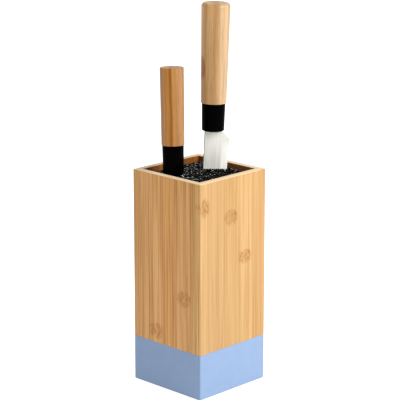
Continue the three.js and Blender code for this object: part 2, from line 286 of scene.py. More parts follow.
def bambooMaterial(name, values, seed, shadeTone):
    material, tree, shader, place = newMaterial(
        name, IOR=1.5, Roughness=bamboo["roughness"], Specular_IOR_Level=bamboo["specular"])
    split = addNode(tree, "ShaderNodeSeparateXYZ", {"Vector": place}).node
    side, height = split.outputs[values["across"]], split.outputs["Z"]
    strips, contrast = values["strips"], values["contrast"]

    mark = None  # 1 in the middle of a knuckle, 0 outside it
    flat = addNode(tree, "ShaderNodeCombineXYZ", {"X": side, "Y": height})
    for knuckle in values["knuckles"]:
        near = insideEllipse(tree, flat, *knuckle)
        if mark is None:
            mark = near
        else:
            mark = addNode(tree, "ShaderNodeMath", {0: mark, 1: near}, operation="MAXIMUM")

    # fibres wander a little, and more beside a knuckle
    sway = addNode(tree, "ShaderNodeTexNoise",
                   {"Vector": place, "Scale": 1 / (bamboo["swayLength"] * mm), "Detail": 1.0},
                   out="Color")
    sway = addNode(tree, "ShaderNodeVectorMath", {0: sway, 1: (0.5, 0.5, 0.5)},
                   operation="SUBTRACT")
    amount = addNode(tree, "ShaderNodeMapRange",
                     {"Value": mark, 3: bamboo["sway"] * mm, 4: bamboo["knuckleSway"] * mm})
    sway = addNode(tree, "ShaderNodeVectorMath", {0: sway, "Scale": amount}, operation="SCALE")
    bent = addNode(tree, "ShaderNodeVectorMath", {0: place, 1: sway}, operation="ADD")

    fibre, band = (
        stretchedNoise(tree, bent, (width, width, bamboo["streakLength"]), 2.0,
                       shift=(seed, seed / 2, seed / 3), Roughness=0.6)
        for width in (bamboo["fibreWidth"], bamboo["bandWidth"]))
    fibre = addNode(tree, "ShaderNodeMapRange", {"Value": fibre, 1: 0.35, 2: 0.61})
    band = addNode(tree, "ShaderNodeMapRange", {"Value": band, 1: 0.34, 2: 0.62})
    both = addNode(tree, "ShaderNodeMix", {0: bamboo["bandShare"], 2: fibre, 3: band},
                   data_type="FLOAT")
    both = addNode(tree, "ShaderNodeMapRange",
                   {"Value": both, 3: 0.5 - contrast / 2, 4: 0.5 + contrast / 2})

    fromEdge = addNode(tree, "ShaderNodeMapRange",
                       {"Value": side, 1: -halfSide * mm, 2: halfSide * mm})
    stops = [((start + halfSide) / (2 * halfSide), colour) for start, colour in strips]
    tint = addNode(tree, "ShaderNodeValToRGB", {"Fac": fromEdge}, stops=stops)
    tint.node.color_ramp.interpolation = "CONSTANT"
    shade = addNode(tree, "ShaderNodeMix",
                    {0: both, 6: linear(bamboo["darkFibre"]), 7: linear(bamboo["lightFibre"])},
                    out=2, data_type="RGBA")
    colour = addNode(tree, "ShaderNodeMix", {0: 1.0, 6: tint, 7: shade}, out=2,
                     data_type="RGBA", blend_type="MULTIPLY")

    for start, _ in strips[1:]:  # the glue between two strips
        gap = addNode(tree, "ShaderNodeMath",
                      {0: side, 1: start * mm, 2: bamboo["glueHalf"] * mm}, operation="COMPARE")
        gap = addNode(tree, "ShaderNodeMath", {0: gap, 1: 0.5 * contrast}, operation="MULTIPLY")
        colour = addNode(tree, "ShaderNodeMix", {0: gap, 6: colour, 7: linear(bamboo["glueLine"])},
                         out=2, data_type="RGBA", blend_type="MULTIPLY")

    # in a knuckle the flecks slant one way and then the other, like a herringbone
    slant = addNode(tree, "ShaderNodeMath", {0: side, 1: bamboo["fleckTurn"] * mm},
                    operation="PINGPONG")
    slant = addNode(tree, "ShaderNodeMath", {0: slant, 1: bamboo["fleckSlant"], 2: height},
                    operation="MULTIPLY_ADD")
    slant = addNode(tree, "ShaderNodeMath", {0: slant, 1: 1 / (bamboo["fleckWidth"] * mm)},
                    operation="MULTIPLY")
    along = addNode(tree, "ShaderNodeMath", {0: side, 1: 1 / (bamboo["fleckLength"] * mm)},
                    operation="MULTIPLY")
    fleck = addNode(tree, "ShaderNodeCombineXYZ", {"X": slant, "Y": along, "Z": float(seed)})
    fleck = addNode(tree, "ShaderNodeTexNoise", {"Vector": fleck, "Scale": 1.0, "Detail": 1.0})
    fleck = addNode(tree, "ShaderNodeMapRange", {"Value": fleck, 1: 0.5, 2: 0.6})
    fleck = addNode(tree, "ShaderNodeMath", {0: fleck, 1: mark}, operation="MULTIPLY")
    # the last multiply is the shade tone: painted shade on a board's inner face, white on the
    # outside
    for share, over in ((mark, bamboo["knuckle"]), (fleck, bamboo["fleck"]), (1.0, shadeTone)):
        colour = addNode(tree, "ShaderNodeMix", {0: share, 6: colour, 7: linear(over)},
                         out=2, data_type="RGBA", blend_type="MULTIPLY")
    tree.links.new(colour, shader.inputs["Base Color"])

    addNode(tree, "ShaderNodeBump", {"Strength": 0.25, "Distance": 0.15 * mm, "Height": fibre},
            into=shader.inputs["Normal"])
    return material


# The sawn and sanded ends of the same boards, along the rim: paler and drier, with the dark
# points of the fibre bundles cut across.
endGrain = {"colour": "#B9A384", "dark": "#94734B", "bundle": 1.1, "cloud": 7,
            "roughness": 0.6}


def endGrainMaterial():
    material, tree, shader, place = newMaterial(
        "bamboo end grain, sanded", IOR=1.5, Roughness=endGrain["roughness"],
        Specular_IOR_Level=bamboo["specular"])
    dots = addNode(tree, "ShaderNodeTexVoronoi",
                   {"Vector": place, "Scale": 1 / (endGrain["bundle"] * mm)}, out="Distance")
    dots = addNode(tree, "ShaderNodeMapRange", {"Value": dots, 1: 0.45, 2: 0.15, 4: 0.6})
    cloud = addNode(tree, "ShaderNodeTexNoise",
                    {"Vector": place, "Scale": 1 / (endGrain["cloud"] * mm), "Detail": 2.0})
    dark = addNode(tree, "ShaderNodeMath", {0: dots, 1: cloud}, operation="MULTIPLY")
    addNode(tree, "ShaderNodeMix",
            {0: dark, 6: linear(endGrain["colour"]), 7: linear(endGrain["dark"])},
            out=2, into=shader.inputs["Base Color"], data_type="RGBA")
    addNode(tree, "ShaderNodeBump", {"Strength": 0.3, "Distance": 0.05 * mm, "Height": dots},
            into=shader.inputs["Normal"])
    return material


# Blue water-based lacquer over the wooden base, rolled on and rubbed down: even colour,
# matt, with a very slight unevenness that softens the light across each face.
paint = {"colour": "#657996", "pale": "#6C819D", "roughness": 0.5, "specular": 0.3,
         "waviness": 9, "skin": 1.2}


def paintMaterial():
    material, tree, shader, place = newMaterial(
        "matt blue lacquer", IOR=1.5, Specular_IOR_Level=paint["specular"])
    cloud = addNode(tree, "ShaderNodeTexNoise",
                    {"Vector": place, "Scale": 1 / (paint["waviness"] * mm), "Detail": 2.0})
    addNode(tree, "ShaderNodeMix",
            {0: cloud, 6: linear(paint["colour"]), 7: linear(paint["pale"])},
            out=2, into=shader.inputs["Base Color"], data_type="RGBA")
    addNode(tree, "ShaderNodeMapRange",
            {"Value": cloud, 3: paint["roughness"] - 0.04, 4: paint["roughness"] + 0.06},
            into=shader.inputs["Roughness"])
    skin = addNode(tree, "ShaderNodeTexNoise",
                   {"Vector": place, "Scale": 1 / (paint["skin"] * mm), "Detail": 3.0})
    addNode(tree, "ShaderNodeBump", {"Strength": 0.12, "Distance": 0.05 * mm, "Height": skin},
            into=shader.inputs["Normal"])
    return material


# Bare birch plywood, sanded: pale face veneer with soft wandering grain, fully matt.
plywood = {"pale": "#C9A578", "dark": "#B08A5C", "grain": (60, 5, 1000), "roughness": 0.7}


def plywoodMaterial():
    material, tree, shader, place = newMaterial(
        "birch plywood", IOR=1.5, Roughness=plywood["roughness"])
    grain = stretchedNoise(tree, place, plywood["grain"], 4.0, Distortion=0.8)
    addNode(tree, "ShaderNodeValToRGB", {"Fac": grain}, into=shader.inputs["Base Color"],
            stops=[(0.35, plywood["dark"]), (0.65, plywood["pale"])])
    addNode(tree, "ShaderNodeBump", {"Strength": 0.2, "Distance": 0.1 * mm, "Height": grain},
            into=shader.inputs["Normal"])
    return material


# Turned and oiled handle wood. Its grain runs straight up the handle in bands, so the eye gets
# long stripes that never wind round it, with fine pores, under a soft satin light. The bands lie
# across one fixed direction of the knife, and their colours carry painted light and shade
# across the handle's width as well as its grain.
handleWoods = {
    "slicer": {
        "name": "oiled beech, turned",
        "bands": [(-14, "#A68156"), (-11, "#906C40"), (-7.5, "#A27F54"), (-4, "#937145"),
                  (-1, "#88643B"), (2, "#896A44"), (5, "#9B7F5C"), (8, "#957758"),
                  (11, "#9E8260"), (13, "#897254")],
        "streakWidth": 1.3,
        "poreWidth": 0.5,
        "roughness": 0.42,
        "stain": (-12.7, 65, 2.8, 15),  # place across, height, half width, half height in mm
        "stainTone": "#D6A987",
    },
    "utility": {
        "name": "oiled acacia, turned",
        "bands": [(-12, "#A1784B"), (-10, "#74512D"), (-8, "#946434"), (-5.5, "#8C5D25"),
                  (-3, "#8D5D16"), (-0.5, "#683704"), (2, "#8F612B"), (4.5, "#7C5824"),
                  (7.5, "#835832"), (12, "#80603A")],
        "streakWidth": 1.3,
        "poreWidth": 0.4,
        "roughness": 0.4,
    },
}


# What both handles share, in mm: how far and how slowly their grain wanders, and how long
# its streaks and pores are.
turnedWood = {"specular": 0.25, "sway": 2.2, "swayLength": 45, "streakLength": 90,
              "poreLength": 9}


def handleMaterial(wood, matrix):
    material, tree, shader, place = newMaterial(
        wood["name"], IOR=1.5, Roughness=wood["roughness"],
        Specular_IOR_Level=turnedWood["specular"])
    local = knifeSpace(tree, place, matrix)
    sway = addNode(tree, "ShaderNodeTexNoise",
                   {"Vector": local, "Scale": 1 / (turnedWood["swayLength"] * mm),
                    "Detail": 1.0}, out="Color")
    sway = addNode(tree, "ShaderNodeVectorMath", {0: sway, 1: (0.5, 0.5, 0.5)},
                   operation="SUBTRACT")
    sway = addNode(tree, "ShaderNodeVectorMath",
                   {0: sway, "Scale": turnedWood["sway"] * mm}, operation="SCALE")
    bent = addNode(tree, "ShaderNodeVectorMath", {0: local, 1: sway}, operation="ADD")
    side = addNode(tree, "ShaderNodeSeparateXYZ", {"Vector": bent}, out="X")
    # the band colours hold grain and painted light and shade across the handle
    low, high = wood["bands"][0][0], wood["bands"][-1][0]
    share = addNode(tree, "ShaderNodeMapRange",
                    {"Value": side, 1: low * mm, 2: high * mm})
    stops = [((start - low) / (high - low), colour) for start, colour in wood["bands"]]
    bands = addNode(tree, "ShaderNodeValToRGB", {"Fac": share}, stops=stops)
    streaks, pores = (
        stretchedNoise(tree, bent, (wood[kind + "Width"], wood[kind + "Width"],
                                    turnedWood[kind + "Length"]), 2.0)
        for kind in ("streak", "pore"))
    soft = addNode(tree, "ShaderNodeMapRange",
                   {"Value": streaks, 1: 0.32, 2: 0.68, 3: 0.82, 4: 1.16})
    colour = addNode(tree, "ShaderNodeVectorMath", {0: bands, "Scale": soft}, operation="SCALE")
    pore = addNode(tree, "ShaderNodeMapRange",
                   {"Value": pores, 1: 0.56, 2: 0.7, 3: 1.0, 4: 0.78})
    colour = addNode(tree, "ShaderNodeVectorMath", {0: colour, "Scale": pore},
                     operation="SCALE")
    if "stain" in wood:
        up = addNode(tree, "ShaderNodeSeparateXYZ", {"Vector": bent}, out="Z")
        flat = addNode(tree, "ShaderNodeCombineXYZ", {"X": side, "Y": up})
        stained = insideEllipse(tree, flat, *wood["stain"])
        colour = addNode(tree, "ShaderNodeMix",
                         {0: stained, 6: colour, 7: linear(wood["stainTone"])},
                         out=2, data_type="RGBA", blend_type="MULTIPLY")
    tree.links.new(colour, shader.inputs["Base Color"])
    addNode(tree, "ShaderNodeBump", {"Strength": 0.15, "Distance": 0.1 * mm, "Height": pores},
            into=shader.inputs["Normal"])
    return material


# Moulded black plastics. A ferrule of polished nylon gives one soft upright light;
# the tray is plain polypropylene with a fine spark-eroded texture, and the feet dull rubber.
plastics = {
    "ferrule": {"name": "black nylon, moulded", "colour": "#010101", "roughness": 0.17,
                "specular": 0.006, "texture": 0.6, "depth": 0.01},
    "tray": {"name": "black polypropylene, textured", "colour": "#161617", "roughness": 0.5,
             "specular": 0.4, "texture": 0.5, "depth": 0.04},
    "rubber": {"name": "black rubber", "colour": "#1B1B1B", "roughness": 0.85,
               "specular": 0.3, "texture": 0.7, "depth": 0.05},
    "cloud": 1.5,  # times as pale in the palest patches
    "cloudWidth": 12,  # mm
}


def plasticMaterial(plastic):
    material, tree, shader, place = newMaterial(
        plastic["name"], IOR=1.5, Specular_IOR_Level=plastic["specular"])
    fine = addNode(tree, "ShaderNodeTexNoise",
                   {"Vector": place, "Scale": 1 / (plastic["texture"] * mm), "Detail": 2.0})
    cloud = addNode(tree, "ShaderNodeTexNoise",
                    {"Vector": place, "Scale": 1 / (plastics["cloudWidth"] * mm)})
    colour = linear(plastic["colour"])
    paler = [c * plastics["cloud"] for c in colour[:3]] + [1]
    addNode(tree, "ShaderNodeMix", {0: cloud, 6: colour, 7: paler},
            out=2, into=shader.inputs["Base Color"], data_type="RGBA")
    addNode(tree, "ShaderNodeMapRange",
            {"Value": cloud, 3: plastic["roughness"] - 0.05, 4: plastic["roughness"] + 0.05},
            into=shader.inputs["Roughness"])
    addNode(tree, "ShaderNodeBump",
            {"Strength": 0.2, "Distance": plastic["depth"] * mm, "Height": fine},
            into=shader.inputs["Normal"])
    return material


# Black nylon rods cut off square: the sides are nearly black, and each cut end is painted
# a pale grey, some more than others, a painted highlight that gives the eye a fine speckle.
# The cut attribute is 0 on a rod's sides and up to 1 on its end, and holds that painted highlight.
rodPlastic = {"side": "#020303", "end": "#A6A9A4", "roughness": 0.5, "specular": 0.03,
              "saw": 0.5}  # mm between the saw's marks


def bristleMaterial():
    material, tree, shader, place = newMaterial(
        "black nylon rod, cut", IOR=1.5, Specular_IOR_Level=rodPlastic["specular"])
    cut = addNode(tree, "ShaderNodeAttribute", {}, out="Fac", attribute_name="cut")
    saw = addNode(tree, "ShaderNodeTexNoise",
                  {"Vector": place, "Scale": 1 / (rodPlastic["saw"] * mm), "Detail": 2.0})
    bright = addNode(tree, "ShaderNodeMapRange", {"Value": saw, 1: 0.3, 2: 0.7, 3: 0.6, 4: 1.2})
    bright = addNode(tree, "ShaderNodeMath", {0: cut, 1: bright}, operation="MULTIPLY")
    addNode(tree, "ShaderNodeMix",
            {0: bright, 6: linear(rodPlastic["side"]), 7: linear(rodPlastic["end"])},
            out=2, into=shader.inputs["Base Color"], data_type="RGBA")
    addNode(tree, "ShaderNodeMapRange",
            {"Value": cut, 3: rodPlastic["roughness"], 4: rodPlastic["roughness"] + 0.3},
            into=shader.inputs["Roughness"])
    addNode(tree, "ShaderNodeBump", {"Strength": 0.2, "Distance": 0.02 * mm, "Height": saw},
            into=shader.inputs["Normal"])
    return material


# Stainless steel, ground lengthways on a coarse belt: lines along the blade scatter the light
# so much that the eye gets a pale grey sheet and no mirror. Part of that scatter is drawn by
# a low metallic value. The edge bevel is painted paler, and paler further down: a painted
# highlight where the bevel catches the key light. The spine is painted dark grey.
steel = {
    "flat": {"name": "stainless steel, belt ground", "colour": "#C7C6C0", "dull": "#B3B2AB"},
    "edge": {"name": "stainless steel, edge painted pale", "colour": "#E4E3DD",
             "dull": "#D8D7D0", "fadeFrom": 10, "fadeTo": 32},  # mm below the ferrule
    "spine": {"name": "stainless steel, spine painted dark", "colour": "#5A5A57",
              "dull": "#474745"},
    "roughness": 0.5,
    "metallic": 0.15,
    "line": (0.9, 2, 35),  # mm across, through and along, coarser than the belt's so they show
    "linesFrom": 5,  # mm below the ferrule, where they begin to show
    "linesTo": 34,
    "linesAtFerrule": 0.25,  # share of their strength that they have there
    "lineMiddle": 0.55,
}


def steelMaterial(finish, matrix):
    material, tree, shader, place = newMaterial(finish["name"], Metallic=steel["metallic"])
    local = knifeSpace(tree, place, matrix)
    line = stretchedNoise(tree, local, steel["line"], 3.0)
    line = addNode(tree, "ShaderNodeMapRange", {"Value": line, 1: 0.32, 2: 0.62})
    down = addNode(tree, "ShaderNodeSeparateXYZ", {"Vector": local}, out="Z")
    strong = addNode(tree, "ShaderNodeMapRange",
                     {"Value": down, 1: -steel["linesFrom"] * mm, 2: -steel["linesTo"] * mm,
                      3: steel["linesAtFerrule"], 4: 1.0})
    line = addNode(tree, "ShaderNodeMix", {0: strong, 2: steel["lineMiddle"], 3: line},
                   data_type="FLOAT")
    colour = addNode(tree, "ShaderNodeMix",
                     {0: line, 6: linear(finish["dull"]), 7: linear(finish["colour"])},
                     out=2, data_type="RGBA")
    # painted highlight: below fadeFrom mm the paler edge colour takes over, fully by fadeTo
    if "fadeFrom" in finish:
        flat = addNode(tree, "ShaderNodeMix",
                       {0: line, 6: linear(steel["flat"]["dull"]),
                        7: linear(steel["flat"]["colour"])}, out=2, data_type="RGBA")
        fine = addNode(tree, "ShaderNodeMapRange",
                       {"Value": down, 1: -finish["fadeFrom"] * mm, 2: -finish["fadeTo"] * mm})
        colour = addNode(tree, "ShaderNodeMix", {0: fine, 6: flat, 7: colour}, out=2,
                         data_type="RGBA")
    tree.links.new(colour, shader.inputs["Base Color"])
    addNode(tree, "ShaderNodeMapRange",
            {"Value": line, 3: steel["roughness"] - 0.06, 4: steel["roughness"] + 0.08},
            into=shader.inputs["Roughness"])
    addNode(tree, "ShaderNodeBump", {"Strength": 0.12, "Distance": 0.02 * mm, "Height": line},
            into=shader.inputs["Normal"])
    return material


# The strips of each board as (left or front edge in mm, colour), and its knuckles as
# (place across, height, half width, half height) in mm. The front and right boards' strip
# colours and contrast carry painted light: the right board is painted darker and flatter to
# offset the strong key light on its face. The inside colour is painted shade, a darker tone
# for each board's inner face, by the shade tone given. One strip makes the right board's
# front edge, painted in the front face's tone.
boards = {
    "rimEase": 0.6,
    "footEase": 0.4,
    "easeSteps": 3,
    "innerFace": 40,
    "outsideTone": "#FFFFFF",
    "panel_front": {"across": "X", "seed": 3, "contrast": 1.1, "inside": "#A58A5E",
                    "knuckles": [(-15, 60.5, 12, 11), (24.5, 103, 12, 10)],
                    "strips": [(-47.5, "#B08451"), (-24.9, "#B58955"), (-5.2, "#B18148"),
                               (12.5, "#B38754"), (34.4, "#AB8553")]},
    # painted light: the right board's strips are darker and their contrast lower, to offset the
    # strong key light on its face
    "panel_right": {"across": "Y", "seed": 8, "contrast": 0.6, "inside": "#A38550",
                    "knuckles": [(-41, 200, 8, 12), (-3, 184, 12, 10), (17.5, 139, 12, 9)],
                    "frontEdgeInFrontTone": [(-47.5, "#B28C5A"), (0, "#B28C5A")],
                    "strips": [(-47.5, "#A4855D"), (-36.1, "#A0815A"), (-12.6, "#A18257"),
                               (9.5, "#A6875D"), (29, "#A17F55")]},
    "panel_back": {"across": "X", "seed": 17, "contrast": 0.85, "inside": "#9A7A48",
                   "knuckles": [(-30, 168, 12, 10), (8, 88, 12, 10)],
                   "strips": [(-47.5, "#AD8452"), (-29, "#B08959"), (-8.4, "#AA8150"),
                              (13.1, "#AF8856"), (35.2, "#AB8353")]},
    "panel_left": {"across": "Y", "seed": 29, "contrast": 0.85, "inside": "#CCA566",
                   "knuckles": [(-20, 120, 12, 10), (27, 198, 12, 10)],
                   "strips": [(-47.5, "#AA8253"), (-31.5, "#AF8755"), (-10.6, "#AD8452"),
                              (10.2, "#B08959"), (31.8, "#A9804E")]},
}


def easeEdges(piece, wanted, offset):
    selectEdges(piece, wanted)
    bpy.ops.mesh.bevel(offset=offset * mm, segments=boards["easeSteps"], profile=0.5)
    leaveEdit()


def makeBoards():
    inner = boards["innerFace"] * mm
    slack = 0.2 * mm
    margin = 3 * mm  # clear of the lines of the corner joints
    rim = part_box("panel_front")[1].z
    lacquer, ends = paintMaterial(), endGrainMaterial()
    for side in ("front", "right", "back", "left"):
        panelNode, railNode = f"panel_{side}", f"base_rail_{side}"
        values = boards[panelNode]
        panel = nodeCopy(panelNode, f"{side}Panel")
        runsAcross = side in ("front", "back")  # stands between the two side boards
        if not runsAcross:
            for y in (-inner, inner):
                editAll(panel)
                bpy.ops.mesh.bisect(plane_co=(0, y, 0), plane_no=(0, 1, 0))
                leaveEdit()

        def onRim(a, b):
            if min(a.z, b.z) < rim - slack:
                return False
            if runsAcross:
                return abs(a.y - b.y) < slack
            atJoint = max(abs(a.x), abs(b.x)) < inner + slack
            return not atJoint or max(abs(a.y), abs(b.y)) < inner + slack

        easeEdges(panel, onRim, boards["rimEase"])
        smoothed(panel)
        wood = bambooMaterial(f"laminated bamboo, {side} board", values, values["seed"],
                              boards["outsideTone"])
        # painted shade: the inner face's bamboo is darkened by the board's inside tone
        inside = bambooMaterial(f"laminated bamboo, inside of {side} board", values,
                                values["seed"] + 40, values["inside"])
        finished(panel, "block", "bamboo", wood, panelNode)
        panel.data.materials.append(ends)
        panel.data.materials.append(inside)
        # painted light: the right board's front edge lies in the dimmer front face, so it gets a
        # copy of the bamboo in the front face's tone
        if "frontEdgeInFrontTone" in values:
            edge = {**values, "strips": values["frontEdgeInFrontTone"],
                    "contrast": boards["panel_front"]["contrast"]}
            panel.data.materials.append(bambooMaterial(
                f"laminated bamboo, front edge of {side} board", edge, values["seed"] + 20,
                boards["outsideTone"]))
        inwards = {"front": (0, 1), "right": (-1, 0), "back": (0, -1), "left": (1, 0)}[side]
        for face in panel.data.polygons:
            if face.normal.z > 0.7 and face.center.z > rim - slack:
                face.material_index = 1
            elif face.normal.dot((*inwards, 0)) > 0.7:
                face.material_index = 2
            elif "frontEdgeInFrontTone" in values and face.normal.y < -0.7:
                face.material_index = 3

        rail = nodeCopy(railNode, f"{side}Rail")
        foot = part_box(railNode)[0].z
        outer = cadHigh.x - margin

        def onFoot(a, b):
            if max(a.z, b.z) > foot + slack:
                return False
            if runsAcross:
                return abs(a.y - b.y) < slack and abs(a.y) > outer
            return max(abs(a.x), abs(b.x)) > inner + margin or min(abs(a.y), abs(b.y)) > outer

        easeEdges(rail, onFoot, boards["footEase"])
        smoothed(rail)
        finished(rail, "block", "blue_paint", lacquer, railNode)
    print("boards and base rails done")


makeBoards()

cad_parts["bottom_board"].data.materials.clear()
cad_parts["bottom_board"].data.materials.append(plywoodMaterial())

feet = {"diameter": 12, "round": 0.9, "roundSteps": 5, "turnSteps": 48}


def makeFeet():
    rubber = plasticMaterial(plastics["rubber"])
    for place in ("front_left", "front_right", "back_right", "back_left"):
        node = f"foot_{place}"
        low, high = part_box(node)
        radius, ease = feet["diameter"] / 2 * mm, feet["round"] * mm
        profile = [(0, 0)]
        for i in range(feet["roundSteps"] + 1):
            angle = math.pi / 2 * i / feet["roundSteps"]
            profile.append((radius - ease * (1 - math.sin(angle)), ease * (1 - math.cos(angle))))
        profile += [(radius, high.z - low.z), (0, high.z - low.z)]
        foot = turnedPiece(node + "_pad", profile, feet["turnSteps"])
        middle = (low + high) / 2
        placed(foot, Matrix.Translation((middle.x, middle.y, low.z)))
        smoothed(foot, 40)
        finished(foot, "block", "rubber", rubber, node)
    print("feet done")


makeFeet()

tray = {"wall": 1.6, "floor": 2.4, "corner": 3, "cornerSteps": 6, "ease": 0.35}


def upright(a, b):
    return abs(a.z - b.z) > 5 * mm


def makeTray():
    low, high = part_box("insert_tray")
    cup = boxPiece("insertTray", low, high)
    selectEdges(cup, upright)
    bpy.ops.mesh.bevel(offset=tray["corner"] * mm, segments=tray["cornerSteps"])
    selectFaces(cup, lambda face: face.normal.z > 0.9)
    bpy.ops.mesh.inset(thickness=tray["wall"] * mm)
    bpy.ops.mesh.extrude_region_move(
        TRANSFORM_OT_translate={"value": (0, 0, tray["floor"] * mm - (high.z - low.z))})
    selectEdges(cup, lambda a, b: min(a.z, b.z) > high.z - 0.1 * mm)
    bpy.ops.mesh.bevel(offset=tray["ease"] * mm, segments=2)
    smoothed(cup)
    finished(cup, "insert", "black_plastic", plasticMaterial(plastics["tray"]), "insert_tray")
    print("tray done")


makeTray()

# Knives as they stand: place of the axis on the bristle ends in mm, lean and turn in degrees.
knives = {
    "slicer": {
        "axis": (-3.4, 20.7), "leanRight": 1.75, "leanBack": 1.7, "turn": 48, "cant": 1.2,
        "shownBlade": 41, "woodLength": 101.8, "endDiameter": 29.4, "neckDiameter": 26.1,
        "endRound": 3.5, "ferruleLength": 28.4, "ferruleTop": 24.1, "ferruleBottom": 22.9,
        "spineOffset": 8.5, "bladeLength": 239.2, "shoulderHeight": 16.5, "heelHeight": 25.8,
        "heelLength": 10, "frontHeight": 18.5, "thickness": 2, "bevelWidth": 7, "pointLength": 62,
        "tangLength": 62, "wood": "slicer", "slot": "pale_handle_wood", "body": "slicer",
    },
    "utility": {
        "axis": (-12.3, -24.7), "leanRight": -2.76, "leanBack": 1.78, "turn": 40, "cant": 0,
        "shownBlade": 1, "woodLength": 78.5, "endDiameter": 24.4, "neckDiameter": 23.4,
        "endRound": 1, "ferruleLength": 30.2, "ferruleTop": 21.9, "ferruleBottom": 21.1,
        "spineOffset": 7.4, "bladeLength": 122, "shoulderHeight": 16, "heelHeight": 21.5,
        "heelLength": 10, "frontHeight": 18, "thickness": 1.6, "bevelWidth": 6, "pointLength": 46,
        "tangLength": 52, "wood": "utility", "slot": "warm_handle_wood", "body": "utility_knife",
    },
}
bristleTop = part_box("bristle_bundle")[1].z


def knifeMatrix(knife):  # blade down, edge towards +X, and the ferrule's lower end at the origin
    turn = (Matrix.Rotation(math.radians(-knife["leanBack"]), 4, "X")
            @ Matrix.Rotation(math.radians(knife["leanRight"]), 4, "Y")
            @ Matrix.Rotation(math.radians(knife["turn"]), 4, "Z"))
    up = turn @ Vector((0, 0, 1))
    x, y = knife["axis"]
    foot = Vector((x * mm, y * mm, bristleTop)) + up * (knife["shownBlade"] * mm / up.z)
    return Matrix.Translation(foot) @ turn


# About two thousand rods on one root. Each stands a little out of line, fans outwards
# towards its end, and bends aside where a blade comes down beside it.
bristles = {
    "across": 47,  # rods along each side
    "diameter": 1.36,
    "rodSides": 6,
    "stations": [20, 60, 92, 134, 176],  # mm, where a rod can bend, below its end
    "rootTop": 21.8,
    "rootSide": 74.7,
    "rootCorner": 1.4,
    "topSide": 77.4,
    "stray": 0.42,  # mm out of line at the end
    "uneven": 2.4,  # mm shorter than the longest
    "drawnUp": 1.6,  # mm that a blade pulls the rods beside it up, at most
    "paleEndShare": 0.42,  # share of the ends painted pale as a highlight, on the side where the knives stand
    "paleEndShareInShadow": 0.01,  # and on the far side, fewer: a painted shadow of the right board
    "paleEndHighlight": (0.45, 1.15),  # how pale such a painted highlight is
    "unlitEnd": (0, 0.03),
    "gap": 0.2,  # mm from rod to blade
    "reach": 8,  # mm from a blade that rods are pushed together
    "touching": 2.5,  # mm from a blade's middle that its friction draws rods up
    "closing": 4,  # mm past the spine or edge over which the rods close again
    "belowPoint": 6,  # mm below a blade's point where they stand straight
}


def makeBristles():
    low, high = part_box("bristle_bundle")
    half = bristles["rootSide"] / 2 * mm
    root = boxPiece("bristleRoot", (-half, -half, low.z),
                    (half, half, bristles["rootTop"] * mm))
    selectEdges(root, upright)
    bpy.ops.mesh.bevel(offset=bristles["rootCorner"] * mm, segments=4)
    leaveEdit()
    smoothed(root)
    nylonRod = bristleMaterial()
    finished(root, "insert", "bristle_plastic", nylonRod, "bristle_bundle")

    stations = [s * mm for s in bristles["stations"]] + [high.z]
    radius = bristles["diameter"] / 2 * mm
    length = stations[-1] - stations[0]
    nothingSelected()
    bpy.ops.mesh.primitive_cylinder_add(
        vertices=bristles["rodSides"], radius=radius, depth=length,
        location=(0, 0, stations[0] + length / 2))
    rods = bpy.context.object
    rods.name = rods.data.name = "bristleRods"
    bpy.ops.object.transform_apply(location=True, rotation=True, scale=True)
    for z in stations[1:-1]:
        editAll(rods)
        bpy.ops.mesh.bisect(plane_co=(0, 0, z), plane_no=(0, 0, 1))
        leaveEdit()
    perRod = len(rods.data.vertices)
    endFaces = [face.normal.z > 0.9 for face in rods.data.polygons]
    count = bristles["across"]
    pitch = (bristles["topSide"] * mm - 2 * radius) / (count - 0.5)
    for offset in ((pitch, 0, 0), (0, pitch, 0)):
        row = rods.modifiers.new("row", "ARRAY")
        row.count = count
        row.use_relative_offset = False
        row.use_constant_offset = True
        row.constant_offset_displace = offset
        bpy.ops.object.modifier_apply(modifier=row.name)

    co = np.zeros(len(rods.data.vertices) * 3, np.float32)
    rods.data.vertices.foreach_get("co", co)
    co = co.reshape(count, count, perRod, 3).astype(float)
    start = -bristles["topSide"] / 2 * mm + radius
    fanIn = bristles["rootSide"] / bristles["topSide"]
    frames = [(knife, knifeMatrix(knife)) for knife in knives.values()]
    for row in range(count):
        for column in range(count):
            rod = co[row, column]
            rod[:, 0] -= column * pitch
            rod[:, 1] -= row * pitch
            ends = Vector((start + column * pitch + (row % 2) * pitch / 2 + drift(),
                           start + row * pitch + drift(), stations[-1]))
            sides = [aside(knife, matrix, ends) for knife, matrix in frames]
            shorter = random.random() ** 2 * bristles["uneven"] * mm
            for knife, matrix in frames:
                if beside(knife, matrix, ends):
                    most = min(bristles["drawnUp"], knife["shownBlade"] / 2)
                    shorter = -random.random() * most * mm
            for z in stations:
                share = (z - stations[0]) / length
                narrow = fanIn + (1 - fanIn) * share * share
                point = Vector((ends.x * narrow, ends.y * narrow, z))
                for (knife, matrix), side in zip(frames, sides):
                    point = parted(knife, matrix, point, side, radius)
                ring = abs(rod[:, 2] - z) < 0.1 * mm
                rod[ring, 0] += point.x
                rod[ring, 1] += point.y
                if z == stations[-1]:
                    rod[ring, 2] -= shorter
    rods.data.vertices.foreach_set("co", co.astype(np.float32).ravel())
    rods.data.update()
    # each rod end's painted highlight goes into the cut attribute
    cut = rods.data.attributes.new("cut", "FLOAT", "FACE")
    cut.data.foreach_set("value", [endHighlight(i % count / count) if end else 0
                                   for i in range(count * count) for end in endFaces])
    smoothed(rods, 62)
    finished(rods, "insert", "bristle_plastic", nylonRod, "bristle_bundle")
    print("bristles done,", count * count, "rods")


def drift():
    return random.uniform(-1, 1) * bristles["stray"] * mm


def endHighlight(across):  # painted highlight of a rod's end, lit or unlit; lit ends grow fewer towards +X, a painted shadow of the right board
    share = bristles["paleEndShare"] + (bristles["paleEndShareInShadow"] - bristles["paleEndShare"]) * across
    return random.uniform(*bristles["paleEndHighlight" if random.random() < share else "unlitEnd"])


